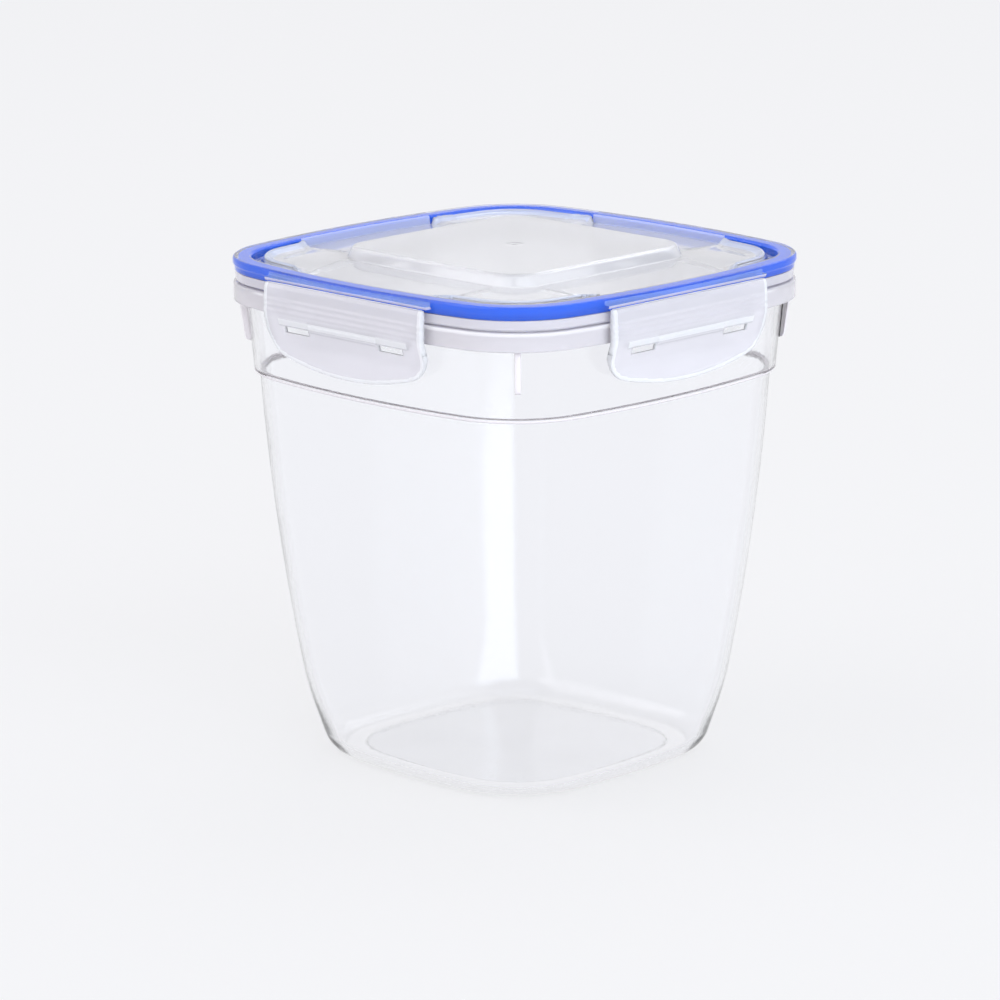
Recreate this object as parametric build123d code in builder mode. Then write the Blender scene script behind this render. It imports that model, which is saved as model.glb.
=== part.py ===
from build123d import *
from math import sqrt
import os

# A clear storage box with a clip lid, in millimetres.
# The origin is the middle of the underside, +Z is up, and the four sides face +X, +Y, -X and -Y.
# A rounded square has four long arcs for its sides and four short arcs for its corners.
# An inset is measured inwards from the outside of the lid, all the way round.

# Outside of the lid, seen from above
rim_half = 71.0
side_radius = 297.0
corner_radius = 27.7

# Tub body: half width, side radius and corner radius at the foot, at mid height and at the ledge
base_half = 50.1
base_side_radius = 221.0
base_corner_radius = 20.1
body_bow = 1.9
ledge_inset = 5.9
ledge_side_radius = 260.0
ledge_corner_radius = 27.1
ledge_height = 118.7
ledge_step = 1.6
shoulder_rounding = 1.4
base_rounding = 7.5
tub_wall = 1.6
floor_thickness = 1.8
foot_recess = 0.8
foot_width = 4.0

# Tub neck, flange, lip and corner fins
neck_inset = 3.1
neck_side_radius = 290.0
neck_corner_radius = 28.0
neck_height = 22.4
flange_inset = 0.5
flange_height = 5.3
flange_wall = 1.5
flange_rounding = 0.6
catch_inset = 2.25
fin_thickness = 1.8
fin_reach = 2.3
fin_length = 13.3
fin_taper = 0.6

# Lid shell
flange_gap = 0.6
rim_height = 6.9
rim_width = 6.2
rim_rounding = 0.9
bead_height = 2.5
bead_slope = 0.6
skirt_step = 0.5
skirt_lean = 0.3
skirt_wall = 1.3
roof_thickness = 1.0
plug_wall = 1.3
plug_depth = 6.6
lid_thickness = 1.2
well_depth = 2.8
crown_rise = 1.2
plateau_half = 41.2
plateau_corner = 11.3
plateau_side_radius = 1500.0
plateau_rise = 4.2
plateau_draft = 1.8
plateau_rounding = 1.2
well_draft = 0.5
gate_radius = 2.6
gate_depth = 0.3
gate_nub = 0.8

# Gasket, and the room round it
gasket_play = 0.1
gasket_height = 3.2
gasket_rounding = 0.5
lip_clearance = 0.6
lip_wall = 1.7
lip_gap = 0.3

# Film hinge and the rail that it hangs from
hinge_drop = 2.7
hinge_proud = 0.15
film_radius = 0.4
film_play = 0.05
rail_half = 35.0
rail_height = 2.1
rail_sill = 0.2
rail_bite = 0.9

# Latch flap, drawn just unclipped, when it clears the flange by lift_clearance
latch_half = 32.9
latch_length = 25.7
latch_skin = 1.1
latch_root = 0.25
lift_clearance = 0.12
waist_proud = 1.15
hip_drop = 8.1
toe_lean = 0.1
bevel = 1.1
crease_radius = 8.0
border_depth = 2.0
border_width = 1.3
toe_radius = 100.0
toe_corner = 8.5

# Hook bar behind the flap, and the windows, bar and ribs that show on its face
hook_half = 27.0
hook_height = 1.9
hook_gap = 0.25
window_inner = 14.6
window_length = 10.2
window_height = 2.0
window_gap = 0.4
bar_half = 14.3
bar_height = 2.0
bar_proud = 0.35
rib_count = 3
rib_pitch = 1.8
rib_height = 0.6
rib_proud = 0.2

# Levels, from the foot up
flange_bottom = ledge_height + neck_height
flange_top = flange_bottom + flange_height
skirt_bottom = flange_top + flange_gap
rim_top = skirt_bottom + rim_height
roof_height = rim_top - roof_thickness
gasket_bottom = roof_height - gasket_height
lip_top = gasket_bottom - lip_gap
well_floor = rim_top - well_depth
plateau_foot = well_floor + crown_rise
plateau_top = plateau_foot + plateau_rise

# Insets that follow from the fits
channel_outer = skirt_step + skirt_wall
channel_inner = rim_width - plug_wall
lip_outer = channel_outer + lip_clearance
lip_inner = lip_outer + lip_wall

# Hinge axis on each side, and the latch's own heights
hinge_reach = rim_half + hinge_proud
hinge_height = rim_top - hinge_drop
latch_top = hinge_height - film_radius - film_play
latch_bottom = hinge_height - latch_length
hook_top = flange_bottom - hook_gap
sides = {"right": 0, "back": 90, "left": 180, "front": 270}


def outline(height, half, bulge, corner):
    """A rounded square face: side arcs of radius bulge, corner arcs tangent inside them."""
    reach = bulge - corner
    side_centre = half - bulge
    corner_centre = (side_centre + sqrt(2 * reach**2 - side_centre**2)) / 2
    centre = Vector(corner_centre, corner_centre)
    join = centre + (centre - Vector(side_centre, 0)) * (corner / reach)
    tip = centre + Vector(corner, corner) / sqrt(2)
    with BuildSketch(Plane.XY.offset(height)) as face:
        with BuildLine():
            for turn in range(0, 360, 90):
                side = [Vector(join.X, -join.Y), Vector(half, 0), join]
                ThreePointArc(*[point.rotate(Axis.Z, turn) for point in side])
                bend = [join, tip, Vector(join.Y, join.X)]
                ThreePointArc(*[point.rotate(Axis.Z, turn) for point in bend])
        make_face()
    return face.sketch


def corner_reach(half, bulge, corner):
    """How far the outline reaches along its diagonal."""
    side_centre = half - bulge
    corner_centre = (side_centre + sqrt(2 * (bulge - corner) ** 2 - side_centre**2)) / 2
    return corner_centre * sqrt(2) + corner


def mouth(height, inset):
    """The outline of the lid, moved inwards by an inset."""
    return outline(height, rim_half - inset, side_radius - inset, corner_radius - inset)


def plateau(height, half):
    """The rounded square of the raised middle of the lid."""
    corner = plateau_corner - (plateau_half - half)
    return outline(height, half, plateau_side_radius, corner)


def body(height, share, inset):
    """The tub's outline at a height, share of the way from the foot to the ledge."""
    half = base_half + (rim_half - ledge_inset - base_half) * share
    bulge = base_side_radius + (ledge_side_radius - base_side_radius) * share
    corner = base_corner_radius + (ledge_corner_radius - base_corner_radius) * share
    half = half + 4 * body_bow * share * (1 - share)
    return outline(height, half - inset, bulge - inset, corner - inset)


def shoulder(height, inset):
    """The foot of the tub's neck, wider than the ledge by its step."""
    inset = inset - ledge_step
    half = rim_half - ledge_inset - inset
    return outline(height, half, ledge_side_radius - inset, ledge_corner_radius - inset)


def neck(height, inset):
    """The top of the tub's neck, under the flange."""
    half = rim_half - neck_inset - inset
    return outline(height, half, neck_side_radius - inset, neck_corner_radius - inset)


def side_plane(turn):
    """The upright plane through the middle, facing one side: x along the side, y up."""
    outward = Vector(1, 0).rotate(Axis.Z, turn)
    return Plane((0, 0, 0), x_dir=outward.rotate(Axis.Z, 90), z_dir=outward)


def section_plane(turn):
    """The upright plane that cuts one side across its middle: x outwards, y up."""
    outward = Vector(1, 0).rotate(Axis.Z, turn)
    return Plane((0, 0, 0), x_dir=outward, z_dir=outward.rotate(Axis.Z, -90))


# Inside of the tub: the body, the neck and the lip
with BuildPart() as hollow:
    ledge_inside = ledge_height + tub_wall
    loft([body(ledge_inside * share, share, tub_wall) for share in (0, 0.5, 1)])
    split(bisect_by=Plane.XY.offset(floor_thickness), keep=Keep.TOP)
    floor_edges = hollow.faces().sort_by(Axis.Z)[0].edges()
    fillet(floor_edges, base_rounding - tub_wall)
    loft([shoulder(ledge_inside, tub_wall), neck(flange_bottom, tub_wall)], ruled=True)
    loft([neck(flange_bottom, tub_wall), mouth(flange_top, lip_inner)], ruled=True)
    extrude(mouth(flange_top, lip_inner), amount=lip_top - flange_top)

# Flange: its sides are cut straight behind the latches, where the hooks catch
catch_reach = rim_half - catch_inset
with BuildPart() as flange:
    extrude(mouth(flange_bottom, flange_inset), amount=flange_height)
    with BuildSketch(Plane.XY.offset(flange_bottom)):
        Rectangle(2 * catch_reach, 2 * catch_reach)
    extrude(amount=flange_height, mode=Mode.INTERSECT)
    fillet(flange.faces().sort_by(Axis.Z)[-1].edges(), flange_rounding)

# Room under the flange at the corners, between its skirt and the neck
groove_depth = flange_height - flange_wall
with BuildPart() as flange_groove:
    extrude(mouth(flange_bottom, flange_inset + flange_wall), amount=groove_depth)
    extrude(neck(flange_bottom, 0), amount=groove_depth, mode=Mode.SUBTRACT)
    with BuildSketch(Plane.XY.offset(flange_bottom)):
        Rectangle(2 * rim_half, 2 * hook_half)
        Rectangle(2 * hook_half, 2 * rim_half)
    extrude(amount=groove_depth, mode=Mode.SUBTRACT)

with BuildPart() as tub:
    loft([body(ledge_height * share, share, 0) for share in (0, 0.5, 1)])
    fillet(tub.faces().sort_by(Axis.Z)[0].edges(), base_rounding)
    loft([shoulder(ledge_height, 0), neck(flange_bottom, 0)], ruled=True)
    shoulder_face = tub.faces().filter_by(Axis.Z).sort_by(Axis.Z)[1]
    fillet(shoulder_face.outer_wire().edges(), shoulder_rounding)
    add(flange.part)
    add(flange_groove.part, mode=Mode.SUBTRACT)
    extrude(mouth(flange_top, lip_outer), amount=lip_top - flange_top)
    # Four fins, one under the flange at each corner
    neck_reach = corner_reach(rim_half - neck_inset, neck_side_radius, neck_corner_radius)
    fin_root = neck_reach - tub_wall
    fin_edge = neck_reach + fin_reach
    fin_head = flange_bottom + groove_depth / 2
    fin_foot = flange_bottom - fin_length
    for turn in (45, 135, 225, 315):
        with BuildSketch(section_plane(turn)) as fin:
            with BuildLine():
                Polyline(
                    (fin_root, fin_head),
                    (fin_edge, fin_head),
                    (fin_edge, flange_bottom),
                    (fin_edge - fin_taper, fin_foot),
                    (fin_root, fin_foot),
                    close=True,
                )
            make_face()
            fillet(fin.vertices().group_by(Axis.Y)[0].sort_by(Axis.X)[-1], fin_reach / 2)
        extrude(amount=fin_thickness / 2, both=True)
    add(hollow.part, mode=Mode.SUBTRACT)
    # A shallow recess leaves the box standing on a ring
    extrude(body(0, 0, base_rounding + foot_width), amount=foot_recess, mode=Mode.SUBTRACT)
tub.part.label = "tub"

# Rails that the latches hang from: straight in front, following the rim behind
with BuildPart() as rails:
    rail_bottom = hinge_height - rail_sill
    for turn in sides.values():
        with BuildSketch(side_plane(turn).offset(rim_half)):
            with Locations((0, rail_bottom)):
                Rectangle(2 * rail_half, rail_height, align=(Align.CENTER, Align.MIN))
        extrude(amount=-rim_width)
    extrude(mouth(rail_bottom, rail_bite), amount=rail_height, mode=Mode.SUBTRACT)

# Film hinges: a thin round web along each side
film_hinges = {}
for side, turn in sides.items():
    with BuildPart() as film:
        with BuildSketch(section_plane(turn)):
            with Locations((hinge_reach, hinge_height)):
                Circle(film_radius)
        extrude(amount=latch_half, both=True)
    film_hinges[side] = film.part

# Space under the lid: inside the plug wall, and inside the raised middle
with BuildPart() as underside:
    extrude(mouth(skirt_bottom, channel_inner), amount=rim_height - plug_depth)
    plate_bottom = well_floor - lid_thickness
    extrude(mouth(skirt_bottom, rim_width), amount=plate_bottom - skirt_bottom)
    inner_half = plateau_half - lid_thickness
    crown_bottom = plateau_foot - lid_thickness
    loft([mouth(plate_bottom, rim_width), plateau(crown_bottom, inner_half)], ruled=True)
    ceiling = plateau(plateau_top - lid_thickness, inner_half - plateau_draft)
    loft([plateau(crown_bottom, inner_half), ceiling], ruled=True)

with BuildPart() as lid:
    bead_bottom = rim_top - bead_height
    skirt_foot = mouth(skirt_bottom, skirt_step + skirt_lean)
    loft([skirt_foot, mouth(bead_bottom, skirt_step)], ruled=True)
    slope_top = bead_bottom + bead_slope
    loft([mouth(bead_bottom, skirt_step), mouth(slope_top, 0)], ruled=True)
    extrude(mouth(slope_top, 0), amount=rim_top - slope_top)
    well_mouth = mouth(rim_top, rim_width - well_draft)
    loft([mouth(well_floor, rim_width), well_mouth], ruled=True, mode=Mode.SUBTRACT)
    fillet(lid.faces().sort_by(Axis.Z)[-1].edges(), rim_rounding)
    crown = plateau(plateau_foot, plateau_half)
    loft([mouth(well_floor, rim_width), crown], ruled=True)
    loft([crown, plateau(plateau_top, plateau_half - plateau_draft)], ruled=True)
    fillet(lid.faces().sort_by(Axis.Z)[-1].edges(), plateau_rounding)
    add(rails.part)
    # Channel for the gasket, open downwards between the skirt and the plug wall
    channel_height = roof_height - skirt_bottom
    channel = extrude(mouth(skirt_bottom, channel_outer), amount=channel_height, mode=Mode.PRIVATE)
    core = extrude(mouth(skirt_bottom, channel_inner), amount=channel_height, mode=Mode.PRIVATE)
    add(channel - core, mode=Mode.SUBTRACT)
    add(underside.part, mode=Mode.SUBTRACT)
    for film in film_hinges.values():
        add(film, mode=Mode.SUBTRACT)
    # Gate mark in the middle of the lid
    with BuildSketch(Plane.XY.offset(plateau_top)):
        Circle(gate_radius)
        Circle(gate_nub, mode=Mode.SUBTRACT)
    extrude(amount=-gate_depth, mode=Mode.SUBTRACT)
lid.part.label = "lid"

with BuildPart() as gasket:
    gasket_outer = channel_outer + gasket_play
    gasket_inner = channel_inner - gasket_play
    extrude(mouth(gasket_bottom, gasket_outer), amount=gasket_height)
    extrude(mouth(gasket_bottom, gasket_inner), amount=gasket_height, mode=Mode.SUBTRACT)
    fillet(gasket.faces().sort_by(Axis.Z)[0].edges(), gasket_rounding)
gasket.part.label = "gasket"

# Latch section: below the flange the flap turns in as far as the lid's lift allows
waist_reach = hinge_reach + waist_proud
hip_reach = catch_reach + lift_clearance + latch_skin
hip_height = flange_bottom - hip_drop
outer_line = [
    (waist_reach, flange_bottom),
    (hip_reach, hip_height),
    (hip_reach + toe_lean, latch_bottom),
]
inner_top = (hinge_reach - latch_root, latch_top)
inner_line = [inner_top] + [(reach - latch_skin, height) for reach, height in outer_line]
brow = (inner_top[0] + latch_skin, latch_top - bevel)
border_reach = waist_reach - border_depth
border_share = (border_reach - hip_reach + latch_skin) / (waist_reach - hip_reach)
border_line = [
    (border_reach, latch_top),
    (border_reach, flange_bottom),
    (hip_reach - latch_skin, flange_bottom - border_share * hip_drop),
    inner_line[-1],
]


def face_reach(height):
    """How far out the latch's face is at a height, by straight runs between its corners."""
    corners = [brow] + outer_line
    for (upper_reach, upper), (lower_reach, lower) in zip(corners, corners[1:]):
        if lower <= height <= upper:
            share = (upper - height) / (upper - lower)
            return upper_reach + (lower_reach - upper_reach) * share
    return brow[0]


def raised_strip(bottom, height, proud):
    """A strip that stands proud of the latch's face, as corners of its section."""
    top = bottom + height
    slope = min(proud, height / 4)
    return [
        (face_reach(bottom) - proud, bottom),
        (face_reach(bottom + slope) + proud, bottom + slope),
        (face_reach(top - slope) + proud, top - slope),
        (face_reach(top) - proud, top),
    ]


def soften(section, corners):
    """Rounds the corners of a section with the crease radius."""
    picked = [section.vertices().sort_by_distance(Vector(*corner))[0] for corner in corners]
    fillet(picked, crease_radius)


with BuildSketch(side_plane(0)) as silhouette:
    with BuildLine():
        toe_end = latch_bottom + toe_radius - sqrt(toe_radius**2 - latch_half**2)
        right_end = (latch_half, toe_end)
        left_end = (-latch_half, toe_end)
        ThreePointArc(left_end, (0, latch_bottom), right_end)
        Polyline(right_end, (latch_half, latch_top), (-latch_half, latch_top), left_end)
    make_face()
    fillet(silhouette.vertices().group_by(Axis.Y)[0], toe_corner)

# Hollow behind the flap's skin, between its borders and open at the top
with BuildPart() as pocket:
    with BuildSketch(section_plane(0)) as back:
        with BuildLine():
            Polyline(
                (rim_half - rim_width, latch_top),
                *inner_line,
                (rim_half - rim_width, latch_bottom),
                close=True,
            )
        make_face()
        soften(back, inner_line[1:3])
    extrude(amount=latch_half, both=True)
    with BuildSketch(side_plane(0)):
        add(silhouette.sketch_local)
        offset(amount=-border_width, mode=Mode.REPLACE)
        with Locations((0, latch_top)):
            Rectangle(2 * (latch_half - border_width), 2 * toe_corner)
    extrude(amount=2 * rim_half, mode=Mode.INTERSECT)

# Bar that hooks under the flange
with BuildPart() as hook:
    with BuildSketch(section_plane(0)):
        with BuildLine():
            hook_bottom = hook_top - hook_height
            hook_reach = catch_reach + lift_clearance
            Polyline(
                (hook_reach, hook_top),
                (face_reach(hook_top) - latch_skin / 2, hook_top),
                (face_reach(hook_bottom) - latch_skin / 2, hook_bottom),
                (hook_reach, hook_bottom),
                close=True,
            )
        make_face()
    extrude(amount=hook_half, both=True)

with BuildPart() as latch:
    with BuildSketch(section_plane(0)) as flap:
        with BuildLine():
            top_edge = (inner_top[0] + latch_skin / 2, latch_top)
            Polyline(top_edge, brow, *outer_line, *reversed(border_line), close=True)
        make_face()
        soften(flap, outer_line[:2])
    extrude(amount=latch_half, both=True)
    window_top = hook_bottom - window_gap
    strips = [(window_top - bar_height / 4, bar_height, bar_proud, bar_half)]
    for number in range(rib_count):
        strips.append((flange_bottom + (number + 1) * rib_pitch, rib_height, rib_proud, latch_half))
    for bottom, height, proud, half in strips:
        with BuildSketch(section_plane(0)):
            with BuildLine():
                Polyline(*raised_strip(bottom, height, proud), close=True)
            make_face()
        extrude(amount=half, both=True)
    with BuildSketch(side_plane(0)):
        add(silhouette.sketch_local)
    extrude(amount=2 * rim_half, mode=Mode.INTERSECT)
    add(pocket.part, mode=Mode.SUBTRACT)
    add(hook.part)
    with BuildSketch(side_plane(0)):
        for middle in (-1, 1):
            with Locations((middle * (window_inner + window_length / 2), window_top)):
                Rectangle(window_length, window_height, align=(Align.CENTER, Align.MAX))
    extrude(amount=2 * rim_half, mode=Mode.SUBTRACT)

os.makedirs("parts", exist_ok=True)
for piece in (tub, lid, gasket):
    export_step(piece.part, f"parts/{piece.part.label}.step")
for side, turn in sides.items():
    film_hinges[side].label = f"film_hinge_{side}"
    export_step(film_hinges[side], f"parts/film_hinge_{side}.step")
    turned = latch.part.rotate(Axis.Z, turn)
    turned.label = f"latch_{side}"
    export_step(turned, f"parts/latch_{side}.step")
print("The tub holds", round(hollow.part.volume / 1000), "ml to the brim")
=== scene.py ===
# %% [markdown]
# A clear storage box with a clip lid, dressed in Blender.
# The imported model comes in first as a fixed frame: eleven moulded pieces in metres, standing on z = 0.

# %% Load the frame
import math
import bpy
import numpy as np
from mathutils import Matrix, Vector


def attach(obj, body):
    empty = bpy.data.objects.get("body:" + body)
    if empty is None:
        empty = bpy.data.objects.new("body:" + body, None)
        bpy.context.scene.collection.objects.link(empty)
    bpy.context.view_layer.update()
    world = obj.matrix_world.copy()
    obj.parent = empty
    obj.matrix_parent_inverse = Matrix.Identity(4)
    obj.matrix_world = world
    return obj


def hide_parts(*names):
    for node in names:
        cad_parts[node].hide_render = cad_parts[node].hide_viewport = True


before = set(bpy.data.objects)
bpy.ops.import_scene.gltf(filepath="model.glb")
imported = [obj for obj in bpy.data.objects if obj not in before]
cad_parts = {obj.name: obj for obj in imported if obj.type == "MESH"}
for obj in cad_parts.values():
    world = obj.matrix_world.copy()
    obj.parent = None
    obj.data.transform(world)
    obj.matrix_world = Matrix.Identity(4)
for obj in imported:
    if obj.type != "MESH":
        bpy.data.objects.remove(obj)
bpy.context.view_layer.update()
mm = 0.001

# %% [markdown]
# The camera stands where the photograph was taken from: in front of one corner, slightly above the lid.
# A long lens keeps the uprights nearly parallel, and the camera is rolled by a third of a degree.

# %% Camera
eye = Vector((0.94969, -0.96736, 0.40808))
aim = Vector((-0.00339, -0.00335, 0.07744))
lens = bpy.data.cameras.new("camera")
lens.sensor_width = 36.0
lens.lens = 165.18
lens.clip_start = 0.05
lens.clip_end = 60.0
camera = bpy.data.objects.new("camera", lens)
roll_degrees = -0.292
roll = Matrix.Rotation(math.radians(roll_degrees), 4, "Z")
look = (aim - eye).to_track_quat("-Z", "Y").to_matrix().to_4x4()
camera.matrix_world = Matrix.Translation(eye) @ look @ roll
bpy.context.scene.collection.objects.link(camera)
bpy.context.scene.camera = camera
bpy.context.scene.view_settings.view_transform = "Standard"
print("Camera is", round((aim - eye).length, 3), "m from the box")

# %% [markdown]
# The studio is a wide pale floor under a pale sky.
# Clear plastic has no colour of its own to show: it is drawn by what it bends and mirrors.
# So the floor and the sky look the same to the eye and to rays that come through the walls,
# and the floor keeps a share of its real light, which is where the soft shadow shows.

# %% A helper that joins nodes
pale = (0.905, 0.905, 0.921, 1.0)
print("The pale ground is", pale[:3])


def joined(tree, source, output, target, socket):
    """Links one node's output to another node's input."""
    tree.links.new(source.outputs[output], target.inputs[socket])


def seen_directly(tree):
    """A value of 1 for camera, glossy and transmission rays: the three kinds are added and clamped."""
    path = tree.nodes.new("ShaderNodeLightPath")
    first = tree.nodes.new("ShaderNodeMath")
    first.operation = "ADD"
    joined(tree, path, "Is Camera Ray", first, 0)
    joined(tree, path, "Is Glossy Ray", first, 1)
    both = tree.nodes.new("ShaderNodeMath")
    both.operation = "ADD"
    both.use_clamp = True
    joined(tree, first, 0, both, 0)
    joined(tree, path, "Is Transmission Ray", both, 1)
    return both


# %% Sky
world = bpy.data.worlds.new("sky")
bpy.context.scene.world = world
world.use_nodes = True
tree = world.node_tree
tree.nodes.clear()
shown = tree.nodes.new("ShaderNodeBackground")
shown.inputs["Color"].default_value = pale
light = tree.nodes.new("ShaderNodeBackground")
light.inputs["Color"].default_value = (0.94, 0.95, 1.0, 1.0)
sky_strength = 0.62
light.inputs["Strength"].default_value = sky_strength
mix = tree.nodes.new("ShaderNodeMixShader")
joined(tree, seen_directly(tree), 0, mix, 0)
joined(tree, light, 0, mix, 1)
joined(tree, shown, 0, mix, 2)
out = tree.nodes.new("ShaderNodeOutputWorld")
joined(tree, mix, 0, out, "Surface")
print("Sky ready, with a light of strength", sky_strength)

# %% Floor
floor_mesh = bpy.data.meshes.new("floor")
span = 14.0
floor_corners = [(-span, -span, 0), (span, -span, 0), (span, span, 0), (-span, span, 0)]
floor_mesh.from_pydata(floor_corners, [], [(0, 1, 2, 3)])
floor = bpy.data.objects.new("floor", floor_mesh)
bpy.context.scene.collection.objects.link(floor)
paper = bpy.data.materials.new("paper")
paper.use_nodes = True
tree = paper.node_tree
tree.nodes.clear()
matt = tree.nodes.new("ShaderNodeBsdfDiffuse")
matt.inputs["Color"].default_value = (0.86, 0.86, 0.87, 1.0)
glow = tree.nodes.new("ShaderNodeEmission")
glow.inputs["Color"].default_value = pale
share = tree.nodes.new("ShaderNodeMath")
share.operation = "MULTIPLY"
glow_share = 0.8
share.inputs[1].default_value = glow_share
joined(tree, seen_directly(tree), 0, share, 0)
mix = tree.nodes.new("ShaderNodeMixShader")
joined(tree, share, 0, mix, 0)
joined(tree, matt, 0, mix, 1)
joined(tree, glow, 0, mix, 2)
out = tree.nodes.new("ShaderNodeOutputMaterial")
joined(tree, mix, 0, out, "Surface")
floor_mesh.materials.append(paper)
print("Floor is", 2 * span, "m wide and", glow_share, "of it glows")

# %% [markdown]
# Three soft boxes stand round the table: the key high on the left, a cool fill on the right, and one
# behind the box, which draws the bright lines along the lid's far edges. The fill is the strongest. It gives
# light only and is hidden from mirrors, because a clear box would show it as a hard white patch.

# %% Soft boxes
soft_boxes = {
    "key": ((-1.1, -1.7, 1.7), 3.0, 28.0, (1.0, 0.98, 0.98)),
    "fill": ((2.3, -0.6, 0.95), 3.0, 64.0, (0.85, 0.93, 1.0)),
    "back": ((-0.5, 1.7, 2.4), 2.6, 18.0, (0.97, 0.98, 1.0)),
}
lit_point = Vector((0, 0, 0.1))
for name, (place, size, power, colour) in soft_boxes.items():
    lamp = bpy.data.lights.new(name, "AREA")
    lamp.size = size
    lamp.energy = power
    lamp.color = colour
    light = bpy.data.objects.new(name, lamp)
    turn = (lit_point - Vector(place)).to_track_quat("-Z", "Y")
    light.matrix_world = Matrix.Translation(place) @ turn.to_matrix().to_4x4()
    light.visible_glossy = name != "fill"
    bpy.context.scene.collection.objects.link(light)
    print("Soft box", name, "is", size, "m wide")

# %% [markdown]
# Every moulding of this box follows the same path: a rounded square with four long bowed sides and four
# short corner arcs. A surface is then a profile carried round that path. The profile is a list of rows,
# and each row holds a height and the three sizes of its rounded square: half width, side radius and
# corner radius. All rows share one set of steps round the path, so rows of different sizes join up neatly.

# %% Sizes of the lid and the tub, in millimetres
rim = np.array([71.0, 297.0, 27.7])
foot = np.array([50.1, 221.0, 20.1])
ledge = np.array([65.1, 260.0, 27.1])
neck_top = np.array([67.9, 290.0, 28.0])
plateau_foot = np.array([38.9, 1500.0, 10.6])
ledge_height, ledge_top = 118.7, 119.9
neck_height = 22.4
flange_bottom = 141.1
flange_top = 146.4
skirt_bottom = 147.0
rim_top = 153.9
lip_top = 149.4
well_bottom = 151.1
lid_top, lid_thickness = 156.5, 1.2
rail_end = 33.9
catch_reach = 68.75
hook_end = 27.0
print("The rim is", 2 * rim[0], "mm across and its top is at", rim_top, "mm")


# %% Steps round the path
def side_angle(half, bulge, corner):
    """Half the angle that a side arc spans: the corner's centre lies where the two arcs meet smoothly."""
    side_centre = half - bulge
    centre = (side_centre + np.sqrt(2 * (bulge - corner) ** 2 - side_centre**2)) / 2
    return np.arctan2(centre, centre - side_centre), centre


rim_angle = side_angle(*rim)[0]
side_marks = np.array([hook_end, hook_end + 0.5, rail_end - 0.4, rail_end - 0.08, rail_end, rail_end + 0.3])
side_marks = np.arcsin(side_marks / rim[1]) / rim_angle
ramp_marks = np.linspace(0.56, 1, 23)
side_steps = np.concatenate([np.linspace(-0.5, 0.5, 17), ramp_marks, -ramp_marks, side_marks, -side_marks])
side_steps = np.unique(np.round(side_steps, 6))[:-1]
corner_length = neck_top[2] * (math.pi / 2 - 2 * side_angle(*neck_top)[0])
fin_marks = np.array([0, 0.45, 0.7, 0.84, 0.9, 0.93, 1.1, 1.6]) / corner_length
corner_steps = np.concatenate([np.linspace(0, 1, 23), 0.5 + fin_marks, 0.5 - fin_marks])
corner_steps = np.unique(np.round(corner_steps, 6))
corner_steps = corner_steps[(corner_steps > 0) & (corner_steps < 1)]
on_side = np.tile(np.r_[np.ones(len(side_steps) + 1, bool), np.zeros(len(corner_steps), bool)], 4)
step = np.tile(np.r_[side_steps, 1.0, corner_steps], 4)
quarter = np.repeat(np.arange(4), len(step) // 4)
print("Steps round the path:", len(step))


def path(sizes):
    """Points of rounded squares, one row for each row of sizes.
    Side: centre + radius x (cos, sin) of a share of the side's angle.
    Corner: the same about the corner's centre."""
    half, bulge, corner = [column[:, None] for column in np.asarray(sizes, float).T]
    angle, centre = side_angle(half, bulge, corner)
    along = step[None, :] * angle
    turn = angle + (math.pi / 2 - 2 * angle) * step[None, :]
    x = np.where(on_side, half - bulge + bulge * np.cos(along), centre + corner * np.cos(turn))
    y = np.where(on_side, bulge * np.sin(along), centre + corner * np.sin(turn))
    turn = quarter[None, :] * (math.pi / 2)
    return np.stack([x * np.cos(turn) - y * np.sin(turn), x * np.sin(turn) + y * np.cos(turn)], -1)


def own_side(points):
    """Each point turned back to the first side: how far out it is, and how far along the side."""
    turn = quarter[None, :] * (math.pi / 2)
    x, y = points[..., 0], points[..., 1]
    return x * np.cos(turn) + y * np.sin(turn), y * np.cos(turn) - x * np.sin(turn)


def turned_out(out, along):
    """The reverse of own_side."""
    turn = quarter[None, :] * (math.pi / 2)
    x = out * np.cos(turn) - along * np.sin(turn)
    return np.stack([x, out * np.sin(turn) + along * np.cos(turn)], -1)


# %% [markdown]
# A moulding has no sharp edges. A corner of the profile becomes a small arc, and a row is held close to each
# end of the arc, so that the flat beside it stays flat in the light.

# %% Rounded profiles
def row(height, sizes, inset=0.0):
    """One row of a profile: a height and a rounded square moved inwards by an inset."""
    return np.r_[height, np.asarray(sizes, float) - inset]


def softened(rows, radii, steps=5, hold=0.15):
    """A chain of straight runs with rounded corners. An arc leaves its corner's two runs at the
    distance radius / tan(half the corner's angle), and is drawn as a weighted quadratic curve,
    which is a true circle."""
    rows = np.asarray(rows, float)
    made = [rows[:1]]
    t = np.linspace(0, 1, steps + 1)[:, None]
    for before, point, after, radius in zip(rows[:-2], rows[1:-1], rows[2:], radii):
        if radius == 0:
            made.append(point[None])
            continue
        back, onward = before - point, after - point
        back_length, onward_length = np.linalg.norm(back[:2]), np.linalg.norm(onward[:2])
        back, onward = back / back_length, onward / onward_length
        half_angle = np.arccos(np.clip(back[:2] @ onward[:2], -1, 1)) / 2
        setback = min(radius / np.tan(half_angle), 0.48 * back_length, 0.48 * onward_length)
        bend = 2 * np.sin(half_angle) * t * (1 - t)
        arc = (1 - t) ** 2 * (point + back * setback) + bend * point + t**2 * (point + onward * setback)
        arc = arc / ((1 - t) ** 2 + bend + t**2)
        made.append((point + back * min(setback + hold, 0.49 * back_length))[None])
        made.append(arc)
        made.append((point + onward * min(setback + hold, 0.49 * onward_length))[None])
    made.append(rows[-1:])
    return np.concatenate(made)


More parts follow.
